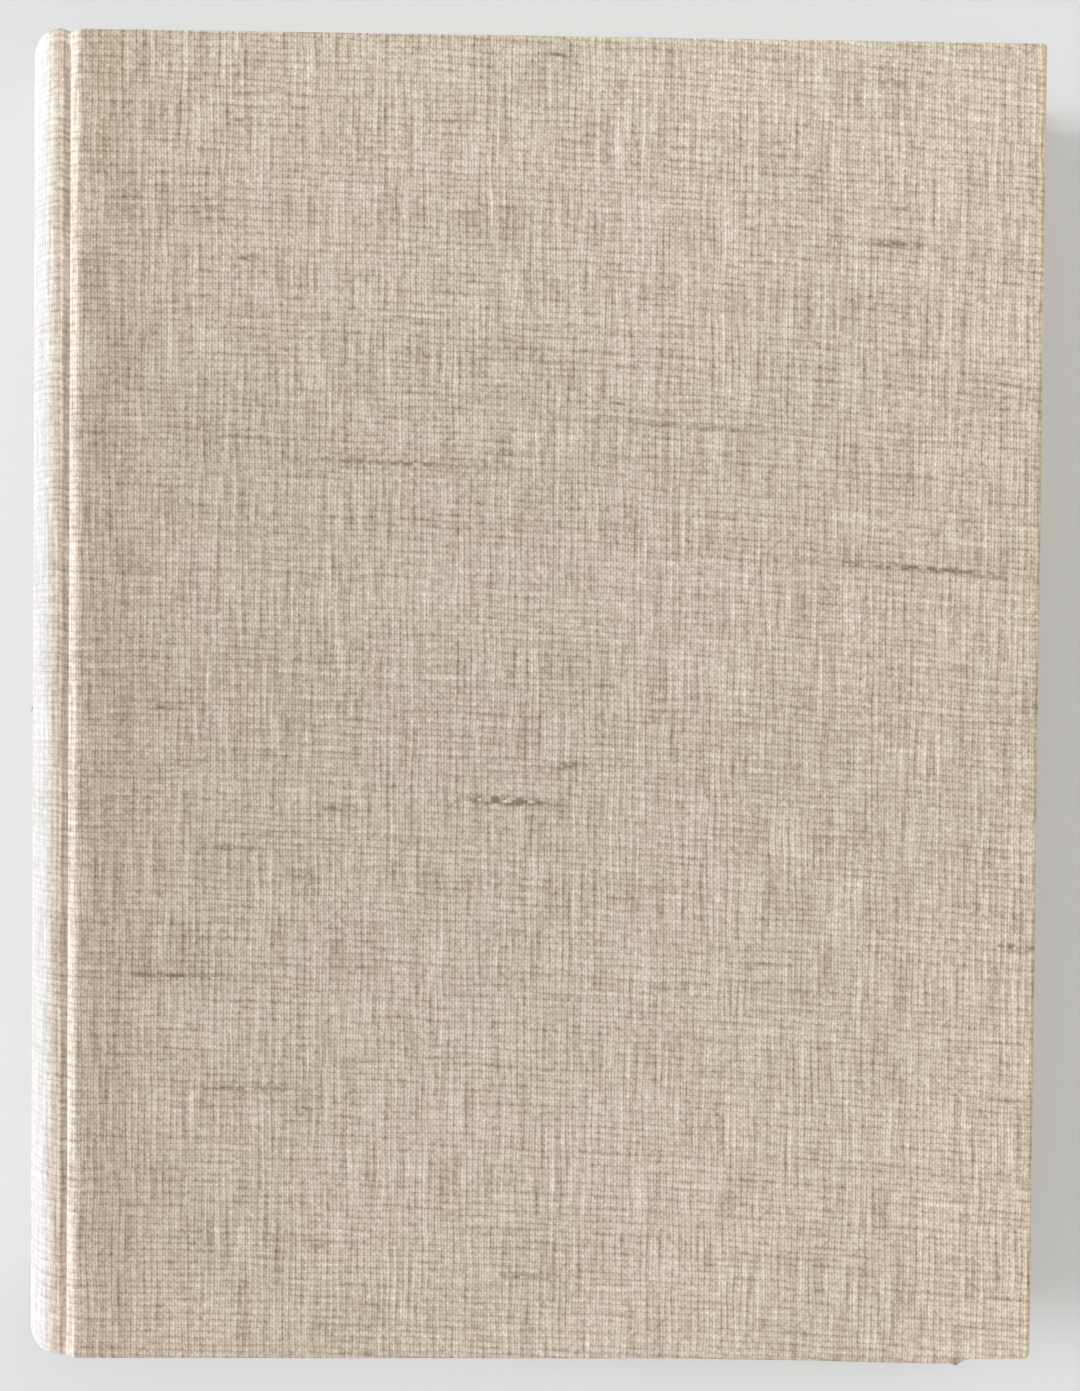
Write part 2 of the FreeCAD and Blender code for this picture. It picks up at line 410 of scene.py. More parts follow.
def wrap_profile():
    """Inset and depth of each ring, and the length of cloth used up to it.

    They follow a quarter round, the board's side, a second quarter round and the turn-in, which
    is short in the joint.
    """
    big = np.minimum(edge_round, drop * 0.48)
    small = np.minimum(inner_round, drop * 0.4)
    in_joint = smooth_step((border_u - arc_end_u + 1.2) / 0.9)
    in_joint = in_joint * (1 - smooth_step((border_u - groove_u - 0.5) / 0.9))
    turn_length = turn_in + (short_turn_in - turn_in) * in_joint
    insets, depths = [], []
    for t in np.radians(np.linspace(0, 90, 7)):
        insets.append(edge_round * (1 - np.sin(t)) + 0 * drop)
        depths.append(big * (1 - np.cos(t)))
    for t in (0.33, 0.66):
        insets.append(0 * drop)
        depths.append(big + (drop - big - small) * t)
    for t in np.radians(np.linspace(0, 90, 5)):
        insets.append(small * (1 - np.cos(t)))
        depths.append(drop - small + small * np.sin(t))
    for t in (0.12, 0.3, 0.5, 0.75, 1.0):
        insets.append(small + (turn_length - small) * t)
        depths.append(drop)
    insets, depths = np.array(insets), np.array(depths)
    steps = np.hypot(np.diff(insets, axis=0), np.diff(depths, axis=0))
    wrapped = np.concatenate([np.zeros((1, len(drop))), np.cumsum(steps, axis=0)])
    return insets, depths, wrapped


insets, depths, wrapped = wrap_profile()
print("rings", len(insets), f"cloth wrapped {wrapped.max():.1f} mm")

# %% The rings, and where they meet on the mitre
def ring_places():
    """Every ring is the border moved inwards by its inset.

    Past the edge, the border's straight runs shorten, so that the turn-ins meet on the mitre.
    """
    inward = edge_round - insets
    turned_in = inward < 0
    shorter_u = straight_ramp(border_u, flat_far - mitre_span, flat_far) * inward
    shorter_y = straight_ramp(np.abs(border_y), mitre_end, flat_end) * inward * np.sign(border_y)
    ring_u = border_u + out_u * inward + np.where(along_head & turned_in, shorter_u, 0)
    ring_y = border_y + out_y * inward + np.where(along_fore & turned_in, shorter_y, 0)
    at_mitre = turned_in & ~(along_head | along_fore)
    ring_u = np.where(at_mitre, flat_far + inward, ring_u)
    ring_y = np.where(at_mitre, (flat_end + inward) * np.sign(border_y), ring_y)
    return ring_u, ring_y


ring_u, ring_y = ring_places()
print("ring points", ring_u.size)

# %% [markdown]
# A case made by hand has small faults, and they are most of its character. The turned cloth
# stands proud along the tail edge and stops abruptly, the groove fills up at its two ends, the
# linen is drawn in at the ends of the spine, and the cover is never quite flat. Each fault is a
# smooth function of the place, so the sheet stays whole.

# %% The case's small faults
groove_fill, bow, draw = 0.75, 0.05, 1.5
tail_corner, head_corner = 1.3, 0.6


def swelling(x):
    """How far the turned cloth stands proud at the tail edge, growing to an abrupt end."""
    grown = smooth_step((x - 24) / 62) * 0.75 + smooth_step((x - 62) / 30) * 0.4
    ends = 1 - smooth_step((x - 95.6) / 1.2)
    nib = 0.45 * np.exp(-(((x - 95.0) / 0.8) ** 2))
    return grown * ends + nib


def round_the_corner(u, y, radius):
    """Turns the case's square corner into a quarter round, by scaling towards its centre."""
    a, b = u - (linen_far - radius), np.abs(y) - (cover_end - radius)
    inside = (a > 0) & (b > 0)
    scale = np.where(inside, np.maximum(a, b) / np.maximum(np.hypot(a, b), 1e-9), 1.0)
    round_u, round_y = linen_far - radius + a * scale, cover_end - radius + b * scale
    return np.where(inside, round_u, u), np.where(inside, np.sign(y) * round_y, y)


def place(u, y, share, seed):
    """The point at length u, place y and share of the way in, with the case's small faults."""
    x0, x1 = across(u, outer_x), across(u, inner_x)
    z0, z1 = across(u, outer_z), across(u, inner_z)
    near_end = smooth_step((np.abs(y) - cover_end + 6) / 5.5)
    shores = np.array([crest_end_u - 0.4, groove_u + 0.6])
    bridge = np.interp(u, shores, across(shores, outer_z))
    in_groove = (u > shores[0]) & (u < shores[1])
    z0 = z0 + groove_fill * near_end * in_groove * np.maximum(bridge - z0, 0)
    calm = smooth_step((u - shoulder_u) / 12) * smooth_step((flat_far - u) / 6)
    calm = calm * smooth_step((flat_end - np.abs(y)) / 6)
    z0 = z0 - bow * calm * (1 + ripple(seed, u / 46, y / 52))
    on_spine = 1 - smooth_step((u - arc_end_u) / (groove_u - arc_end_u))
    y0 = y + on_spine * (0.5 + 0.2 * y / cover_end)
    by_end = smooth_step((np.abs(y) - flat_end + 24) / 24)
    y0 = y0 - np.sign(y) * draw * (1 - smooth_step((u - 5) / 9)) * by_end
    flat_u, flat_y = round_the_corner(u, y0, np.where(y < 0, tail_corner, head_corner))
    return x0 + (x1 - x0) * share + flat_u - u, flat_y, z0 + (z1 - z0) * share


print(f"the tail edge stands proud by up to {swelling(np.arange(110)).max():.2f} mm")

# %% [markdown]
# Now the two halves are made.

# %% The two halves of the linen
def linen_half(name, front):
    """Half of the case linen: S(u, y, share) = outer(u) + share * (inner(u) - outer(u))."""
    seed = 3 if front else 4
    top_uv = np.stack(np.meshgrid(sheet_u, sheet_y, indexing="ij"), -1)
    top = np.stack(place(top_uv[..., 0], top_uv[..., 1], 0.0, seed), -1)

    x, yy, z = place(ring_u, ring_y, depths / drop, seed)
    side_part = smooth_step((depths - 0.3) / 0.5) * (1 - smooth_step((insets - 0.2) / 1.4))
    if front:
        yy = yy - swelling(x) * side_part * along_head * (border_y < 0)
    yy = yy + 0.05 * ripple(8, x / 9) * side_part * out_y
    rings = np.stack([x, yy, z], -1)
    ring_uv = np.stack([border_u + out_u * wrapped, border_y + out_y * wrapped], -1)

    facing = 1 if front else -1
    for points, uv in ((top, top_uv), (rings, ring_uv)):
        points[..., 2] = middle + facing * points[..., 2]
        uv[..., 0] *= facing
    return make_piece(name, [(top, top_uv, front), (rings, ring_uv, not front)])


front_linen = linen_half("front_linen", True)
back_linen = linen_half("back_linen", False)
cut = ((flat_far + wrapped.max()) * MM, 2 * (flat_end + wrapped.max()) * MM)
for half, board in ((front_linen, "front_board"), (back_linen, "back_board")):
    thicken(half, cloth * 0.9)
    sharpen(half, 50)
    print(half.name, "faces", len(half.data.polygons), "cut to", cut, "m")

# %% [markdown]
# One thread end has worked loose on the spine and catches the light. It is a thin tapered tube
# that starts on the cloth and leaves it slowly.

# %% A stray thread end on the spine
thread_thick, thread_lift = 0.14, 0.45
thread_turn = math.radians(21.8)
thread_u, thread_y, thread_long = 5.4, -1.9, 1.6


def make_thread_end():
    """A tapered tube, radius 0.14 (1 - t^3), whose middle leaves the spine by 0.45 t^2."""
    t, ring = np.meshgrid(np.linspace(0, 1, 14), np.linspace(0, 2 * math.pi, 9), indexing="ij")
    thick = thread_thick * (1 - t**3) + 0.004
    turned = thread_turn + thick * np.sin(ring) / spine_radius
    out = spine_radius + 0.02 + thread_lift * t**2 + thick * np.cos(ring)
    x, z = spine_axis - out * np.cos(turned), middle + out * np.sin(turned)
    tube = np.stack([x, thread_y - thread_long * t, z], -1)
    uv = np.stack([thread_u + thick * np.sin(ring), tube[..., 1]], -1)
    piece = closed_tube("thread_end", tube, uv, (False, False, True))
    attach(piece, "text_block")
    return piece


thread_end = make_thread_end()
print("thread end faces", len(thread_end.data.polygons))

# %% [markdown]
# A straight split on the hinge line would tear open as soon as a cover turns.

# %% The span of the bend at the hinges, and the frame's cloth hidden
bend_outside, bend_inside = 2.2, 0.3
tip_x = hinge_x - bend_inside
bend_from, bend_to = (hinge_x + bend_outside) * MM, tip_x * MM
for half, side in ((front_linen, "front"), (back_linen, "back")):
    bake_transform(half)
    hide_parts(side + "_cloth")
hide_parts("spine_cloth")
print(f"each half bends from {bend_from / MM:.1f} to {bend_to / MM:.1f} mm")

# %% [markdown]
# The leaves are cut edges, hundreds of them. A picture of lines would look flat from close by,
# so each leaf's edge is modelled: the block's border is carried up through its levels, and every
# level is moved in or out by a hair. The rounded back and the hollow fore-edge mirror each other,
# and the outer leaves flare up into the shoulders.

# %% The shape of the block
leaf_count = 190
leaf_half = inner_face - 0.35
back_radius = spine_axis - leaves_back
hollow = 5.6
hollow_radius = (leaf_half**2 + hollow**2) / (2 * hollow)


def leaf_height(x):
    """Half the block's thickness at x: level, then rising into the shoulder by the back."""
    return leaf_half + (leaf_tip - leaf_half) * smooth_step((tip_x + 1.5 - x) / 1.5)


def back_of(level):
    """Where a leaf at a level from -1 to 1 meets the back: on a circle about the round's axis."""
    return spine_axis - np.sqrt(np.maximum(back_radius**2 - (leaf_tip * level) ** 2, 0))


def front_of(level):
    """Where that leaf's fore-edge is: on the circle of the hollow."""
    inner = fore_edge - hollow + hollow_radius
    return inner - np.sqrt(np.maximum(hollow_radius**2 - (leaf_half * level) ** 2, 0))


print(f"leaves' back radius {back_radius:.2f}, hollow radius {hollow_radius:.2f} mm")

# %% Each leaf's own edge
leaf_uneven, leaf_gap = 0.035, 0.09
signature_step, signature_leaves = 0.05, 8
level_span = 100


def leaf_edges():
    """How far each row stands out: a leaf by its own small error, a gap between two by less."""
    uneven = np.random.default_rng(11).normal(0, leaf_uneven, leaf_count)
    phase = np.arange(leaf_count) * 2 * math.pi / signature_leaves
    edge = np.full(2 * leaf_count + 1, -leaf_gap)
    edge[1::2] = uneven - signature_step * np.sin(phase) ** 2
    edge[[0, -1]] = 0
    return edge


def held_ends(values):
    """1 for each value but the first and the last, which are 0."""
    return np.pad(np.ones(len(values) - 2), 1)


# %% The block of leaves
def make_leaves():
    """The block: its border, carried from the back leaf to the front leaf, and two caps."""
    edge = leaf_edges()[:, None]
    level = np.linspace(-1, 1, len(edge))
    rows = level[:, None]
    s = runs([0, 0.05, 0.94, 1.0], [8, 10, 4])
    y = np.linspace(-leaves_end, leaves_end, 31)
    b, f = back_of(level)[:, None], front_of(level)[:, None]
    x_run = b + (f - b) * s[None, :]
    z_run = rows * leaf_height(x_run)

    def side(sign):
        """The head or the tail: rows along x, each moved out by its own edge."""
        out = edge * (1 + 0.5 * ripple(5, s[None, :] * 9, rows * 8))
        yy = sign * (leaves_end + out * held_ends(s))
        uv = np.stack([x_run + 0 * yy, rows * level_span + 0 * yy], -1)
        return np.stack([x_run, yy, z_run], -1), uv

    def upright(x_of, outward):
        """The fore-edge or the back: rows along y."""
        wave = 1 + 0.5 * ripple(6, y[None, :] / 30, rows * 8)
        x = x_of(level)[:, None] + outward * edge * held_ends(y) * wave
        z = rows * leaf_height(x_of(level))[:, None] + 0 * x
        yy = np.broadcast_to(y[None, :], x.shape)
        return np.stack([x, yy, z], -1), np.stack([yy, rows * level_span + 0 * yy], -1)

    grids = [(*side(-1), False), (*side(1), True)]
    grids += [(*upright(front_of, 1), False), (*upright(back_of, -1), True)]
    for top, row in ((1, -1), (-1, 0)):
        x, yy = np.meshgrid(x_run[row], y, indexing="ij")
        cap = np.stack([x, yy, top * leaf_height(x)], -1)
        grids.append((cap, np.stack([x, yy], -1), top > 0))
    for points, _, _ in grids:
        points[..., 2] += middle
    return make_piece("leaves", grids)


leaves = make_leaves()
sharpen(leaves, 60)
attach(leaves, "text_block")
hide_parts("page_block")
print("leaves", leaf_count, "faces", len(leaves.data.polygons))

# %% [markdown]
# An endpaper is one folded sheet: half is glued to the board, half is free, and a cover turns
# about its hinge. Here each half is a sheet of its own from the fold at the shoulder's tip to the
# fore-edge: the free half rides on the leaves, and the glued half is baked where it lies.

# %% Endpapers
paper_thick, glue = 0.15, 0.04
fold_width = 3


def make_sheet(name, offset, front):
    """A sheet of paper: z = leaf height + offset, from the fold to the fore-edge.

    It is carried from tail to head, sampled closely by the fold, and then thickened.
    """
    x = runs([tip_x, tip_x + fold_width, fore_edge], [25, 49])
    y = np.linspace(-leaves_end, leaves_end, 41)
    xx, yy = np.meshgrid(x, y, indexing="ij")
    zz = leaf_height(xx) + offset
    points = np.stack([xx, yy, middle + (zz if front else -zz)], -1)
    piece = make_piece(name, [(points, np.stack([xx, yy], -1), front)])
    thicken(piece, paper_thick)
    sharpen(piece, 50)
    return piece


for front in (True, False):
    side = "front" if front else "back"
    flyleaf = make_sheet(side + "_free_endpaper", paper_thick, front)
    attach(flyleaf, "text_block")
    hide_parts(side + "_flyleaf")
    pasted = make_sheet(side + "_pasted_endpaper", 2 * paper_thick + glue, front)
    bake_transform(pasted)
    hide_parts(side + "_pastedown")
    print(side, "endpapers made, faces", len(flyleaf.data.polygons) + len(pasted.data.polygons))

# %% [markdown]
# A worked end band is a cord wrapped in thread. The bead is a tube round the back's arc whose
# radius swells under each wrap. It stands on the ends of the leaves, right by their back.

# %% Head band and tail band
bead, bead_proud, wrap_width = 0.8, 0.2, 0.56


def make_band(name, side):
    """Tube of radius bead * (0.88 + 0.12 |sin(wraps * turn)|) along the arc of the back."""
    reach = math.atan2(leaf_tip, spine_axis - tip_x)
    wraps = int(round(2 * reach * back_radius / wrap_width))
    arc = np.linspace(-reach, reach, wraps * 6 + 1)
    ring = np.linspace(0, 2 * math.pi, 19)
    swell = bead * (0.88 + 0.12 * np.abs(np.sin(np.linspace(0, wraps * math.pi, len(arc)))))
    swell = swell * straight_ramp(np.minimum(arc + reach, reach - arc), -0.001, 0.03)
    swell, arc = swell[:, None], arc[:, None]
    radial = back_radius + bead_proud - bead + swell * np.cos(ring)
    x, z = spine_axis - radial * np.cos(arc), middle + radial * np.sin(arc)
    tube = np.stack([x, side * (leaves_end + bead + swell * np.sin(ring)), z], -1)
    uv = np.stack(np.meshgrid(arc * back_radius, ring, indexing="ij"), -1)
    piece = closed_tube(name, tube, uv, (side > 0, side < 0, side > 0), merge=1e-6)
    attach(piece, "text_block")
    return piece


head_bead = make_band("head_band_bead", 1)
tail_bead = make_band("tail_band_bead", -1)
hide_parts("head_band")
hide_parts("tail_band")
print("band wraps made, faces", len(head_bead.data.polygons))

# %% [markdown]
# Shader maths reads best as plain expressions. The class below wraps a socket and overloads the
# operators that are used, so a * b + c adds its Math nodes by itself. Any other node comes from
# one method: its type, its settings, and then its inputs.

# %% Sockets that do arithmetic
class Sock:
    """A node's output socket that can be used in arithmetic."""

    def __init__(self, tree, socket):
        self.tree, self.socket = tree, socket

    def math(self, operation, *others):
        return self.tree.node("ShaderNodeMath", {"operation": operation}, [self, *others])

    def __add__(self, other):
        return self.math("ADD", other)

    __radd__ = __add__

    def __sub__(self, other):
        return self.math("SUBTRACT", other)

    def __rsub__(self, other):
        return self.tree.node("ShaderNodeMath", {"operation": "SUBTRACT"}, [other, self])

    def __mul__(self, other):
        return self.math("MULTIPLY", other)

    __rmul__ = __mul__

    def __truediv__(self, other):
        return self.math("DIVIDE", other)

    def floor(self):
        return self.math("FLOOR")

    def fract(self):
        return self.math("FRACT")

    def clamp(self):
        return self.math("MAXIMUM", 0.0).math("MINIMUM", 1.0)

    def step(self, low, high):
        """A smooth step from 0 at low to 1 at high."""
        inputs = {"Value": self, "From Min": low, "From Max": high}
        return self.tree.node("ShaderNodeMapRange", {"interpolation_type": "SMOOTHSTEP"}, inputs)


# %% [markdown]
# A material is a tree of nodes that ends in one shader. What is the same all over a piece is set
# on the shader's own sockets, and only what changes over the surface is linked.

# %% A material's nodes
class Tree:
    """A material's nodes, with a method for each kind of step."""

    def __init__(self, name, roughness, specular):
        self.material = bpy.data.materials.new(name)
        self.material.use_nodes = True
        self.nodes = self.material.node_tree.nodes
        self.links = self.material.node_tree.links
        self.shader = self.nodes["Principled BSDF"]
        self.shader.inputs["Roughness"].default_value = roughness
        self.shader.inputs["Specular IOR Level"].default_value = specular

    def put(self, socket, value):
        if isinstance(value, Sock):
            self.links.new(value.socket, socket)
        else:
            socket.default_value = value

    def node(self, kind, settings=None, inputs=()):
        made = self.nodes.new(kind)
        for key, value in (settings or {}).items():
            setattr(made, key, value)
        pairs = inputs.items() if isinstance(inputs, dict) else enumerate(inputs)
        for key, value in pairs:
            self.put(made.inputs[key], value)
        return Sock(self, made.outputs[0])

    def ramp(self, share, stops):
        """A colour ramp through stops of (position, colour)."""
        made = self.node("ShaderNodeValToRGB", None, [share])
        elements = made.socket.node.color_ramp.elements
        while len(elements) < len(stops):
            elements.new(0.5)
        for element, (at, color) in zip(elements, stops):
            element.position = at
            element.color = (*color, 1.0)
        return made

    def mix(self, share, one, two, blend="MIX"):
        """Colour one at 0 and colour two at 1."""
        made = self.nodes.new("ShaderNodeMix")
        made.data_type = "RGBA"
        made.blend_type = blend
        self.put(made.inputs[0], share)
        for key, value in ((6, one), (7, two)):
            self.put(made.inputs[key], (*value, 1.0) if isinstance(value, tuple) else value)
        return Sock(self, made.outputs[2])

    def scaled(self, vector, factor):
        inputs = {"Vector": vector, "Scale": factor}
        return self.node("ShaderNodeVectorMath", {"operation": "SCALE"}, inputs)

    def tint(self, tone, share, color, base=(1.0, 1.0, 1.0)):
        """A tone multiplied by base where share is 0 and by color where it is 1."""
        return self.mix(1.0, tone, self.mix(share, base, color), "MULTIPLY")

    def place(self, kind="UV"):
        """The place on the piece in millimetres, as x, y and z."""
        made = self.nodes.new("ShaderNodeTexCoord")
        split = self.nodes.new("ShaderNodeSeparateXYZ")
        self.put(split.inputs[0], self.scaled(Sock(self, made.outputs[kind]), 1 / MM))
        return [Sock(self, split.outputs[k]) for k in range(3)]

    def vector(self, x, y, z=0.0):
        return self.node("ShaderNodeCombineXYZ", None, [x, y, z])

    def noise(self, x, y, z=0.0, detail=2.0, rough=0.5):
        """Noise from 0 to 1 at a place."""
        inputs = {"Scale": 1.0, "Detail": detail, "Roughness": rough}
        inputs["Vector"] = self.vector(x, y, z)
        return self.node("ShaderNodeTexNoise", {"noise_dimensions": "3D"}, inputs)

    def random(self, x, y=0.0):
        """A different value from 0 to 1 for each whole number x, y."""
        inputs = {"Vector": self.vector(x + 0.5, y)}
        return self.node("ShaderNodeTexWhiteNoise", {"noise_dimensions": "2D"}, inputs)

    def bump(self, height, strength, distance):
        """Height from 0 to 1, as a bump of a distance in millimetres."""
        inputs = {"Strength": strength, "Distance": distance * MM, "Height": height}
        self.put(self.shader.inputs["Normal"], self.node("ShaderNodeBump", None, inputs))

    def finish(self, color, roughness=None):
        self.put(self.shader.inputs["Base Color"], color)
        if roughness is not None:
            self.put(self.shader.inputs["Roughness"], roughness)
        return self.material


def wear(piece, material):
    """Gives a piece one material in every slot."""
    piece.data.materials.clear()
    piece.data.materials.append(material)


# %% [markdown]
# Unbleached linen is spun unevenly: each thread has its own thickness and shade, and both change
# along its length. So the weave is worked out thread by thread. A whole number says which thread
# a point is on, and a random value drawn from that number gives the thread its shade. A tiled
# pattern would repeat, and the eye would find it at once on so plain a cover.

# %% Threads
pitch = 0.68


def sink(u):
    """How far the weft has sunk at length u: a shallow parabola."""
    return (u - 112) * 0.042 + (u - 112) * (u - 112) * 0.00018


def weave_of(t, u, v):
    """Plain weave: warp thread floor(u / pitch), weft thread floor(v / pitch).

    The warp lies on top where the sum of the two numbers is odd. Every thread wanders and has a
    shade of its own that drifts along it. Threads lie in loose pairs with a gap of changing width
    between them. The gaps and the sides of each pair and each thread are darkened, and their
    crowns lightened, with painted shade. Returns the tone's place on the ramp, the height, a
    random value for each crossing, and the weft thread's number.
    """
    warp = (u + (t.noise(u / 7, v / 16, 2.0, detail=2) - 0.5) * 1.7) / pitch
    weft = (v + (t.noise(u / 16, v / 7, 7.0, detail=2) - 0.5) * 1.9) / pitch
    warp_n, weft_n = warp.floor(), weft.floor()
    round_warp, round_weft, pair_warp, pair_weft = [
        (place.fract() * math.pi).math("SINE") for place in (warp, weft, warp / 2, weft / 2)
    ]
    over = ((warp_n + weft_n) / 2).fract().math("GREATER_THAN", 0.25)
    under = 1 - over
    cell = t.random(warp_n, weft_n)

    drift_warp = t.noise(warp_n * 3.7, v / 12, 1.0, detail=3, rough=0.6)
    drift_weft = t.noise(u / 11, weft_n * 3.7, 5.0, detail=3, rough=0.6)
    patches = t.noise(u / 12, v / 12, 6.0, detail=2).step(0.32, 0.68)
    # The pair terms are painted shade: lighter along the middle of each pair of threads, darker at
    # its edges.
    lines_warp = (
        (pair_warp - 0.64) * 0.14
        + (drift_warp - 0.5) * 0.20
        + (t.random(warp_n) - 0.5) * 0.09
        + (t.noise(u / 1.1, v / 16, 3.0, detail=1) - 0.5) * 0.72
    )
    lines_weft = (
        (pair_weft - 0.64) * 0.14
        + (drift_weft - 0.5) * 0.16
        + (t.random(weft_n, 9.0) - 0.5) * 0.09
        + (t.noise(u / 11, v / 1.1, 8.0, detail=1) - 0.5) * 0.34
    )
    # The gaps between pairs, for painted shade.
    gap_warp = (1 - pair_warp) * drift_warp.step(0.60, 0.36)
    gap_weft = (1 - pair_weft) * drift_weft.step(0.60, 0.36)
    along_u, along_v = over * 1.6 + under * 9.0, over * 9.0 + under * 1.6
    fibre = t.noise(u * along_v, v * along_u, 0.0)
    flecks = t.noise(u / 1.35, v / 1.35, 9.0, detail=2, rough=0.55)
    crown = round_warp * over + round_weft * under
    pillow = crown * (0.72 + 0.28 * (round_weft * over + round_warp * under))

    value = lines_warp * (0.70 + 0.6 * patches) + lines_weft * (1.30 - 0.6 * patches)
    # Painted shade: the gaps between pairs are darkened, and the pillow term lightens each
    # thread's crown and darkens its sides.
    value = value - gap_warp * 0.08 - gap_weft * 0.08 + (cell - 0.5) * 0.06
    value = value + (pillow - 0.55) * 0.09 + (fibre - 0.5) * 0.14 + (flecks - 0.5) * 0.85
    shade = drift_warp * over + drift_weft * under
    height = pillow * 0.85 + (pair_warp + pair_weft) * 0.14 + shade * 0.25 + fibre * 0.14
    return value, height, cell, weft_n


# %% [markdown]
# A slub is a short length where the flax was thick. Small ones come from noise drawn out along
# the weft. The large ones can be counted on the cover, so each is listed: where it lies,
# half its length, and how dark it is.

# %% Slubs
slubs = (
    (-4.0, -21.6, 9.0, 0.95), (-41.0, -23.4, 4.0, 0.6), (-63.0, -32.0, 6.0, 0.55),
    (-62.0, 94.5, 4.5, 0.5), (79.0, 99.0, 8.0, 0.6), (77.0, 133.5, 8.5, 0.45),
    (34.0, 59.5, 20.0, 0.42), (-28.0, 51.0, 22.0, 0.48), (84.0, 29.5, 22.0, 0.58),
    (-78.0, -2.0, 3.0, 0.5), (-76.0, -59.5, 12.0, 0.52), (107.0, -52.5, 6.0, 0.6),
    (-60.0, -84.0, 14.0, 0.42), (-1.0, -124.5, 5.0, 0.5), (60.0, -137.0, 5.0, 0.4),
    (-45.0, -118.0, 4.0, 0.4), (9.0, -13.5, 2.0, 0.7),
)


def slubs_of(t, u, v, weft_n):
    """How brown a point is, from 0 to 1: each large slub is exp(-along^2 - aside^2)."""
    streak = t.noise(u / 13, weft_n * 0.37, 11.0, detail=3, rough=0.6)
    slub = streak.step(0.64, 0.80) * t.noise(u / 38, v / 26, 3.0).step(0.45, 0.62) * 0.6
    ragged = t.noise(u / 2.2, weft_n * 1.7, 21.0, detail=2).step(0.36, 0.62)
    large = 0.0
    for x, y, half_length, strength in slubs:
        at = x + linen_far - cover_far
        along = (u - at) / half_length
        aside = (v - y - sink(at)) / (0.55 + 0.5 * strength)
        spot = (0.0 - along * along - aside * aside).math("EXPONENT") * strength
        large = spot.math("MAXIMUM", large)
    slub = slub.math("MAXIMUM", large * ragged * 1.2)
    return (slub * 1.6).clamp() * 0.82


print("large slubs", len(slubs))

# %% [markdown]
# The linen's tone changes over the cover: paler to the right and at both ends, greener in the
# middle, clouded, and darker and browner in a strip on the board beside the joint. Light and shade
# are painted into it too: a warm painted highlight on the fore-edge's round, a cool one on the
# spine with painted shade at its middle, painted light in the groove and up the board's edge at
# the joint, and painted shade on the crest. Each is a mask by length or place that tints the tone.

# %% Tints, painted light and painted shade
def tints_and_painted_light(t, tone, u, y):
    """The tone under its tints and its painted light and shade: a product of tints, each under its
    own smooth mask.
    """
    side = u.math("ABSOLUTE")
    x = side + (cover_far - linen_far)
    paler = 1.005 + x * 0.00063 + y * 0.00024 + y * y * 0.0000052
    tone = t.scaled(tone, paler)
    middle_part = (0.0 - x * x / 4200).math("EXPONENT")
    tone = t.tint(tone, middle_part, (0.982, 1.0, 0.994), (1.0, 1.0, 0.988))
    clouds = t.noise(u / 42, y / 42, 3.0, detail=2).step(0.3, 0.7)
    tone = t.tint(tone, clouds, (1.025, 1.006, 1.02), (0.970, 0.995, 0.955))
    # Paler and warmer on the fore-edge's round: a painted highlight.
    fore_round_highlight = side.step(linen_far - 2.4, linen_far - 1.0)
    fore_round_highlight = fore_round_highlight * side.step(linen_far + 5.0, linen_far + 3.0)
    tone = t.tint(tone, fore_round_highlight * 0.8, (1.10, 1.12, 1.02))
    # Paler and cooler on the spine: a painted cool highlight of the low key light.
    spine_cool_highlight = side.step(18.4, 13.0)
    tone = t.tint(tone, spine_cool_highlight, (1.0, 1.13, 1.39))
    # Darker at the spine's middle, where the key light falls most squarely: painted shade.
    spine_middle_shade = side.step(9.5, 4.0)
    tone = t.tint(tone, spine_middle_shade, (0.81, 0.845, 0.895))
    # Paler and cooler in the groove and up the board's edge: painted light in the groove's shade
    # and a painted highlight on the edge.
    joint_painted_light = side.step(wall_end_u - 1.1, wall_end_u - 0.5)
    joint_painted_light = joint_painted_light * side.step(shoulder_u + 0.7, shoulder_u - 0.8)
    tone = t.tint(tone, joint_painted_light, (1.17, 1.20, 1.28))
    shaded_crest = side.step(16.1, 16.9) * side.step(18.5, 17.7)
    tone = t.tint(tone, shaded_crest, (0.90, 0.89, 0.88))
    browned = x.step(-95.2, -94.0) * x.step(-70.0, -92.0)
    return t.tint(tone, browned, (0.945, 0.92, 0.885))


# %% The linen itself
flax_tones = [
    (0.0, (0.250, 0.172, 0.118)), (0.25, (0.422, 0.325, 0.247)), (0.52, (0.603, 0.496, 0.400)),
    (0.75, (0.742, 0.641, 0.533)), (1.0, (0.885, 0.815, 0.720)),
]
slub_brown = (0.20, 0.140, 0.078)


def linen_material():
    """Linen: the threads pick a tone, slubs brown it, tints and painted light and shade change it,
    and the threads raise it.

    The spine's threads differ less under its painted highlight, so their spread is halved.
    """
    t = Tree("linen", 0.9, 0.2)
    u, y, _ = t.place("UV")
    v = y + sink(u)
    value, height, cell, weft_n = weave_of(t, u, v)
    spine = u.math("ABSOLUTE").step(18.4, 12.0)
    value = value * (0.9 - spine * 0.45)
    tone = t.ramp((value + 0.512).clamp(), flax_tones)
    tone = t.mix(slubs_of(t, u, v, weft_n), tone, slub_brown)
    t.bump(height, 0.42, 0.16)
    return t.finish(tints_and_painted_light(t, tone, u, y), 0.86 + cell * 0.1)


linen = linen_material()
for piece in (front_linen, back_linen, thread_end):
    wear(piece, linen)
print("linen nodes", len(linen.node_tree.nodes))
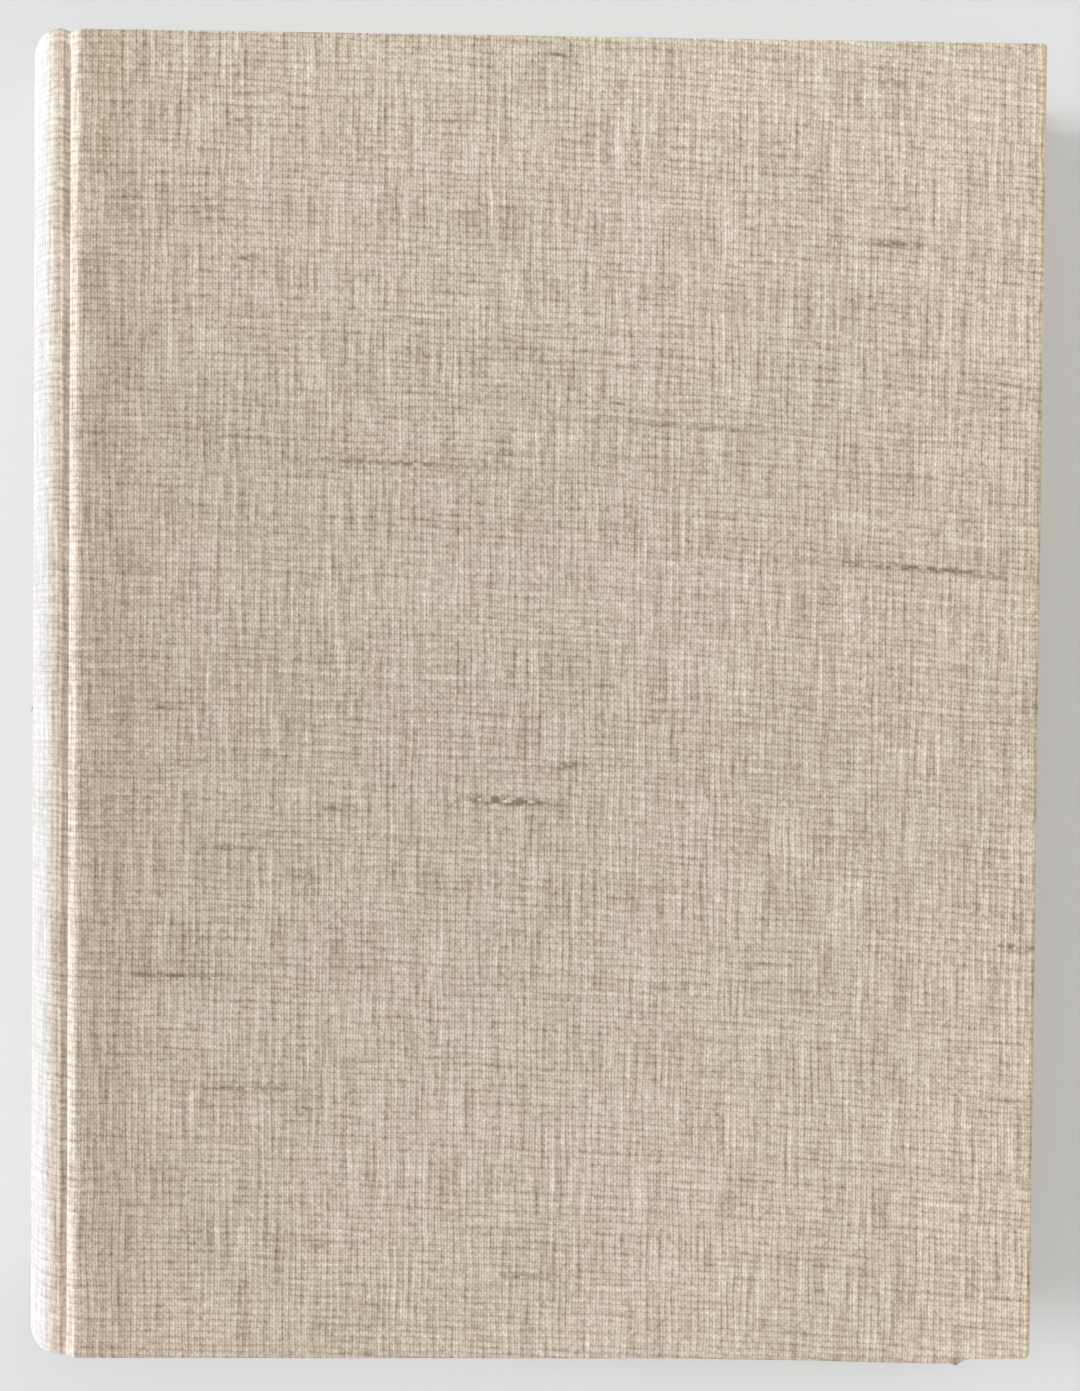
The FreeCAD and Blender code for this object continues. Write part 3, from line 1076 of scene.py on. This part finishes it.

# %% [markdown]
# Paper is nearly plain, but never quite: fibres make it cloudy, and a cut edge gets painted shade
# where two leaves meet. The boards, the card, the brown lining and the mull are mostly hidden, yet
# each gets its own stuff, because an opened book shows their edges.

# %% Paper and board
def paper_material(name, color, deep, scale=3.0, lines=False, kind="Object"):
    """Paper: a cloudy mix of two near tones, with fibres as a fine bump.

    With lines, it is the cut edge of leaves: each has a tone of its own, and the gap between
    two of them is darkened with painted shade.
    """
    t = Tree(name, 0.85, 0.3)
    x, y, z = t.place(kind)
    cloud = t.noise(x / 8, y / 8, z / 8, detail=4)
    fibre = t.noise(x * scale, y * scale, z * scale, detail=5, rough=0.7)
    share = (cloud * 0.6 + fibre * 0.4).step(0.25, 0.75)
    tone = t.mix(share, deep, color)
    if lines:
        u, v, _ = t.place("UV")
        leaf = (v + level_span) / (2 * level_span) * leaf_count
        # Between two leaves the edge is darkened: painted shade in the gap.
        gap = 1 - (leaf.fract() * math.pi).math("SINE")
        leaf_shade = t.random(leaf.floor()) * 0.5 + t.noise(u / 20, leaf.floor() * 2.3, 0.0) * 0.7
        dark = tuple(part * 0.62 for part in deep)
        tone = t.mix((gap * 0.55 + (0.6 - leaf_shade) * 0.5).clamp(), tone, dark)
    t.bump(fibre, 0.25, 0.03)
    return t.finish(tone)


leaf_paper = paper_material("leaf_paper", (0.90, 0.82, 0.69), (0.81, 0.71, 0.57), lines=True)
end_paper = paper_material("end_paper", (0.86, 0.83, 0.76), (0.81, 0.77, 0.69), kind="UV")
kraft = paper_material("brown_lining", (0.50, 0.35, 0.21), (0.40, 0.27, 0.16))
grey_board = paper_material("grey_board", (0.40, 0.38, 0.34), (0.31, 0.29, 0.26), scale=1.5)
card_stuff = paper_material("spine_card", (0.55, 0.50, 0.42), (0.46, 0.41, 0.34))
print("papers made")

# %% [markdown]
# Mull is an open gauze glued over the sewn back, and only its edges ever show. The end bands are
# wound with silk in two colours, and wraps are counted along the bead by its own UV map.

# %% Gauze and silk
gauze_pitch = 0.8


def gauze_material():
    """An open plain weave of even threads: half a sine across each warp and each weft."""
    t = Tree("mull_gauze", 0.9, 0.25)
    x, y, z = t.place("Object")
    a, b = (x + z) / gauze_pitch, y / gauze_pitch
    wave = (a.fract() * math.pi).math("SINE") * 0.5 + (b.fract() * math.pi).math("SINE") * 0.5
    tone = t.mix((wave * 1.3 - 0.3).clamp(), (0.55, 0.50, 0.41), (0.84, 0.80, 0.70))
    t.bump(wave, 0.5, 0.1)
    return t.finish(tone)


def band_material():
    """Silk thread wrapped round a cord: two colours in turn, with a sheen along each wrap and
    painted shade where its twist is low.
    """
    t = Tree("band_thread", 0.55, 0.5)
    u, v, _ = t.place("UV")
    wrap = u / wrap_width
    odd = (wrap.floor() / 2).fract().math("GREATER_THAN", 0.25)
    twist = t.noise(u * 6 + v * 3, v * 5, 0.0, detail=2)
    tone = t.mix(odd, (0.80, 0.76, 0.66), (0.55, 0.44, 0.31))
    # Darker where the twist's bump is low: painted shade in its grooves.
    tone = t.mix((0.9 - twist * 0.9).clamp() * 0.5, tone, (0.36, 0.28, 0.19))
    t.bump(twist, 0.4, 0.05)
    return t.finish(tone)


thread = band_material()
wear(leaves, leaf_paper)
for band in (head_bead, tail_bead):
    wear(band, thread)
for side in ("front", "back"):
    wear(bpy.data.objects[side + "_free_endpaper"], end_paper)
    wear(bpy.data.objects[side + "_pasted_endpaper"], end_paper)
    wear(frame["nodes"][side + "_board"], grey_board)
wear(frame["nodes"]["spine_lining"], kraft)
wear(card, card_stuff)
wear(frame["nodes"]["spine_mull"], gauze_material())
print("materials", len(bpy.data.materials))

# %% [markdown]
# The floor is plain and pale, and so large that no view shows its end.

# %% Floor
floor_reach, floor_below = 25.0, 0.0002
floor_corners = np.array([(-1, -1, 0), (1, -1, 0), (1, 1, 0), (-1, 1, 0)]) * floor_reach
floor_mesh = bpy.data.meshes.new("floor")
floor_mesh.from_pydata(floor_corners.tolist(), [], [(0, 1, 2, 3)])
floor = bpy.data.objects.new("floor", floor_mesh)
floor.location.z = -floor_below
bpy.context.scene.collection.objects.link(floor)
pale = Tree("pale_floor", 0.9, 0.1)
wear(floor, pale.finish((0.80, 0.80, 0.79, 1.0)))
print("floor", 2 * floor_reach, "m wide")

# %% [markdown]
# The sun stands low on the left, as the photograph shows by its bright spine, and a pale sky
# fills the rest. It looks brighter to the camera and in reflections than it lights, so that the
# background is nearly white while the linen keeps its tone.

# %% Light
def sun(name, azimuth, elevation, strength, softness, color):
    """A sun that shines from an azimuth (0 is +X, 90 is +Y) and an elevation, in degrees."""
    lamp = bpy.data.lights.new(name, "SUN")
    lamp.energy = strength
    lamp.angle = math.radians(softness)
    lamp.color = color
    made = bpy.data.objects.new(name, lamp)
    a, e = math.radians(azimuth), math.radians(elevation)
    way = np.array([math.cos(e) * math.cos(a), math.cos(e) * math.sin(a), math.sin(e)])
    side = np.cross([0.0, 0.0, 1.0], way)
    side = side / np.linalg.norm(side)
    up = np.cross(way, side)
    made.matrix_world = Matrix([[side[k], up[k], way[k], 0] for k in range(3)] + [[0, 0, 0, 1]])
    bpy.context.scene.collection.objects.link(made)


sun("key", 176, 13.5, 4.35, 14, (0.88, 0.94, 1.0))
sun("fill", 60, 62, 0.5, 50, (1.0, 0.97, 0.92))
sky_lights, sky_seen = 0.52, 0.92
world = bpy.data.worlds.new("soft_sky")
world.use_nodes = True
sky = world.node_tree.nodes["Background"]
sky.inputs["Color"].default_value = (1.0, 1.0, 1.0, 1.0)
sky_nodes, sky_links = world.node_tree.nodes, world.node_tree.links
rays = sky_nodes.new("ShaderNodeLightPath")
strength = sky_nodes.new("ShaderNodeMapRange")
seen = rays.outputs["Is Camera Ray"]
for kind in ("Is Glossy Ray", "Is Transmission Ray"):
    either = sky_nodes.new("ShaderNodeMath")
    either.operation = "MAXIMUM"
    sky_links.new(seen, either.inputs[0])
    sky_links.new(rays.outputs[kind], either.inputs[1])
    seen = either.outputs[0]
sky_links.new(seen, strength.inputs["Value"])
strength.inputs["To Min"].default_value = sky_lights
strength.inputs["To Max"].default_value = sky_seen
sky_links.new(strength.outputs[0], sky.inputs["Strength"])
bpy.context.scene.world = world
print("lights", [light.name for light in bpy.data.lights])

# %% [markdown]
# The camera stands where the photographer stood. Its place, its slight tilt and its focal length
# were solved from the outline of the cover, whose perspective tells all three.

# %% Camera
photo_wide, focal_pixels = 1080, 1205.0
sensor_wide = 36.0
camera = bpy.data.cameras.new("camera")
camera.sensor_fit = "HORIZONTAL"
camera.sensor_width = sensor_wide
camera.lens = sensor_wide * focal_pixels / photo_wide
camera.clip_start = 0.01
viewer = bpy.data.objects.new("camera", camera)
viewer.matrix_world = Matrix([
    [0.999879, -0.008349, -0.013090, -0.740 * MM],
    [0.008514, 0.999885, 0.012586, 4.600 * MM],
    [0.012984, -0.012696, 0.999835, 289.000 * MM],
    [0, 0, 0, 1],
])
bpy.context.scene.collection.objects.link(viewer)
bpy.context.scene.camera = viewer
bpy.context.scene.view_settings.view_transform = "Standard"
print(f"lens {camera.lens:.2f} mm")
